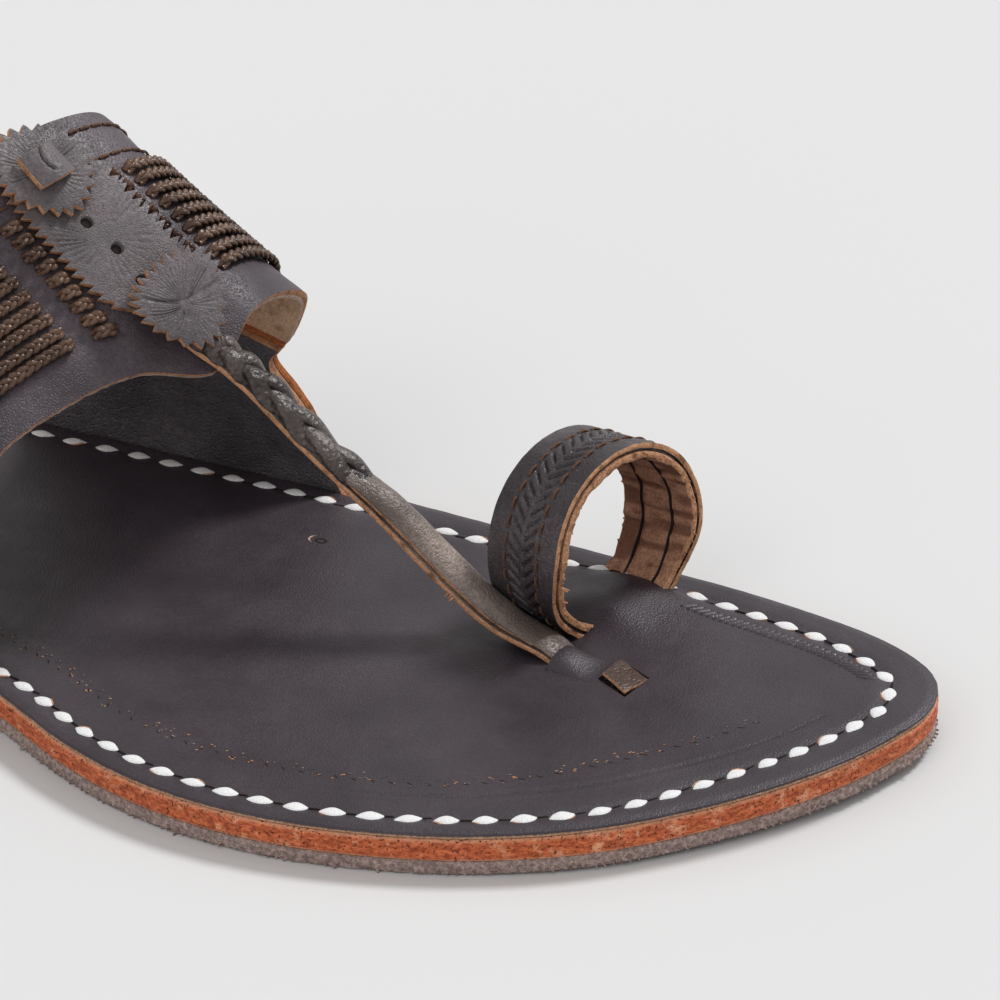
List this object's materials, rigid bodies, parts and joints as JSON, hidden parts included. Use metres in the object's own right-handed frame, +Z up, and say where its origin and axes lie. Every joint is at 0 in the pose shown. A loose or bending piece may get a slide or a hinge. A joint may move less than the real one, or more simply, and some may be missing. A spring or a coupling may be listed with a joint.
{
  "type": "kolhapuri sandal",
  "caption": "Right flat leather sandal with an arched instep band on side ears, a braided thong strap, a big-toe ring, a centre panel with rosettes and braided cord trim.",
  "frame": {"origin": "on the floor, under the middle of the sandal's bounding box", "axes": "+X towards the toe, +Y towards the medial (big toe) side, +Z up"},
  "size_m": [0.288, 0.1082, 0.086],
  "materials": {
    "rubber": "matt grey-brown, ragged lower edge",
    "russet_leather": "raw russet leather edge, mottled",
    "dark_leather": "satin dark brown, fine grain",
    "cord_leather": "braided brown cord, semi-gloss"
  },
  "bodies": {
    "root": {"outsole": "rubber", "heel_lift": "rubber", "midsole": "russet_leather", "insole": "dark_leather", "thong_knot": "dark_leather", "upper": "dark_leather", "toe_ring": "dark_leather", "centre_panel": "dark_leather", "lower_rosette": "dark_leather", "upper_rosette": "dark_leather", "rosette_tab": "dark_leather", "medial_cord_ends": "cord_leather", "medial_cords": "cord_leather", "lateral_cord_ends": "cord_leather", "lateral_cords": "cord_leather"}
  },
  "joints": []
}
